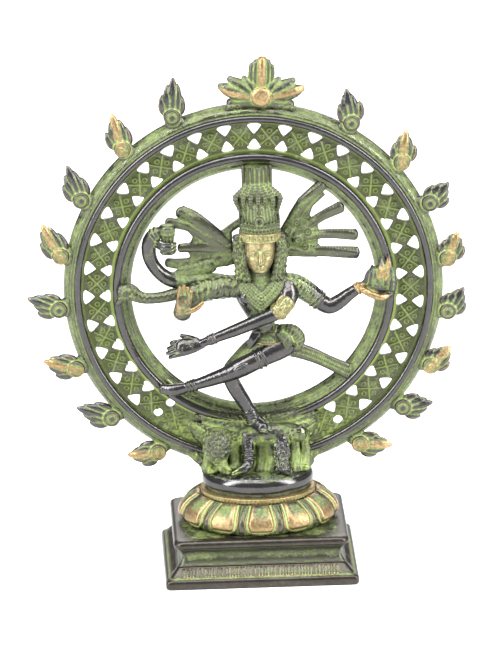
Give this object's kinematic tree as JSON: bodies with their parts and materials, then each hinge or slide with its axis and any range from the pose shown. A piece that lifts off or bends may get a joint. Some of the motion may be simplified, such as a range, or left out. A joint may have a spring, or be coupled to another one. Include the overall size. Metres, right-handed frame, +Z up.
{
  "type": "nataraja statue",
  "caption": "Cast brass nataraja statue with a dancing figure in a pierced ring of flames on a lotus and stepped base.",
  "frame": {"origin": "centre of the underside of the foot, on the table", "axes": "+Z up, figure looks along -Y, +X to the viewer's right"},
  "size_m": [0.1912, 0.072, 0.2299],
  "materials": {
    "bronze": "dark patinated, polished on the high places",
    "patina": "matt green verdigris in the recesses",
    "polished": "rubbed bright",
    "steel": "plain"
  },
  "bodies": {
    "root": {"base_foot": "bronze", "base_waist": "patina", "base_plate": "bronze", "lotus_core": "patina", "lotus_petals": "polished", "bead_ring": "polished", "plinth_neck": "patina", "plinth_drum": "bronze", "stud": "steel", "washer": "steel", "nut": "steel", "ring_outer_rail": "bronze", "ring_inner_rail": "bronze", "ring_band": "patina", "ring_web": "patina", "finial": "polished", "flame_01": "patina", "flame_02": "polished", "flame_03": "patina", "flame_04": "polished", "flame_05": "patina", "flame_06": "polished", "flame_07": "patina", "flame_08": "polished", "flame_09": "patina", "flame_10": "polished", "flame_11": "patina", "flame_12": "polished", "flame_13": "patina", "flame_14": "polished", "flame_15": "patina", "flame_16": "polished", "dwarf": "patina", "torso": "bronze", "hips": "patina", "belt": "polished", "hip_knot": "patina", "loin_flap": "bronze", "head": "polished", "headband": "polished", "crown": "patina", "tresses": "patina", "necklace": "patina", "hair_left": "patina", "hair_right": "patina", "arm_blessing": "patina", "arm_drum": "bronze", "drum": "patina", "arm_crossing": "bronze", "armlet": "polished", "arm_flame": "bronze", "flame_bowl": "polished", "serpent": "patina", "leg_standing": "bronze", "leg_raised": "bronze", "sash": "patina"}
  },
  "joints": []
}
